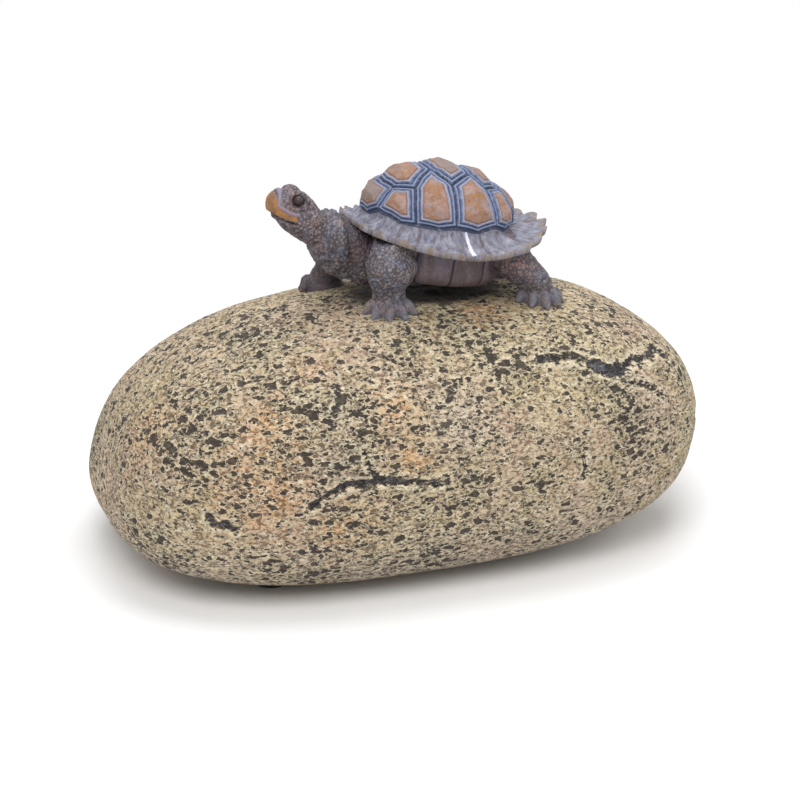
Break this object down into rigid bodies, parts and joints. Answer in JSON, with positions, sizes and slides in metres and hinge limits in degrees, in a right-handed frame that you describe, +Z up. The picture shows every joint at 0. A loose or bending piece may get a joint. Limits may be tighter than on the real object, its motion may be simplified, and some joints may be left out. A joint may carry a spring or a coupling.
{
  "type": "hide a key rock",
  "caption": "Garden pebble that hides a key: a tortoise figure stands on its crown, and a key tray in its flat base is closed by a sliding door.",
  "frame": {"origin": "on the floor under the middle of the pebble's box in plan; the rubber feet stand at Z = 0", "axes": "+Z up, +X along the pebble's length towards the tortoise's tail, which is the way the door opens, +Y across to the tortoise's right"},
  "size_m": [0.1498, 0.1, 0.0929],
  "materials": {
    "pebble": "painted cast resin, matt and pitted",
    "tray": "moulded, fine matt",
    "door": "moulded, fine matt",
    "gasket": "cut sheet",
    "liner": "closed-cell foam sheet",
    "screws": "zinc plated",
    "shell": "painted cast resin, dry-brushed",
    "belly": "painted cast resin",
    "skin": "painted cast resin, dry-brushed",
    "eyes": "gloss painted",
    "pins": "plain steel",
    "feet": "moulded rubber"
  },
  "bodies": {
    "rock": {"rock_casting": "pebble", "key_tray": "tray", "tray_gasket": "gasket", "tray_liner": "liner", "tray_screws": "screws", "carapace": "shell", "belly_shell": "belly", "head_and_neck": "skin", "tail": "skin", "eye_left": "eyes", "eye_right": "eyes", "figure_pins": "pins", "leg_front_left": "skin", "leg_front_right": "skin", "leg_rear_left": "skin", "leg_rear_right": "skin", "foot_pad_front_left": "feet", "foot_pad_front_right": "feet", "foot_pad_rear_left": "feet", "foot_pad_rear_right": "feet"},
    "door": {"sliding_door": "door"}
  },
  "joints": [
    {"name": "door_slide", "type": "slide", "parent": "rock", "child": "door", "axis": [1, 0, 0], "range_m": [0, 0.06]}
  ]
}
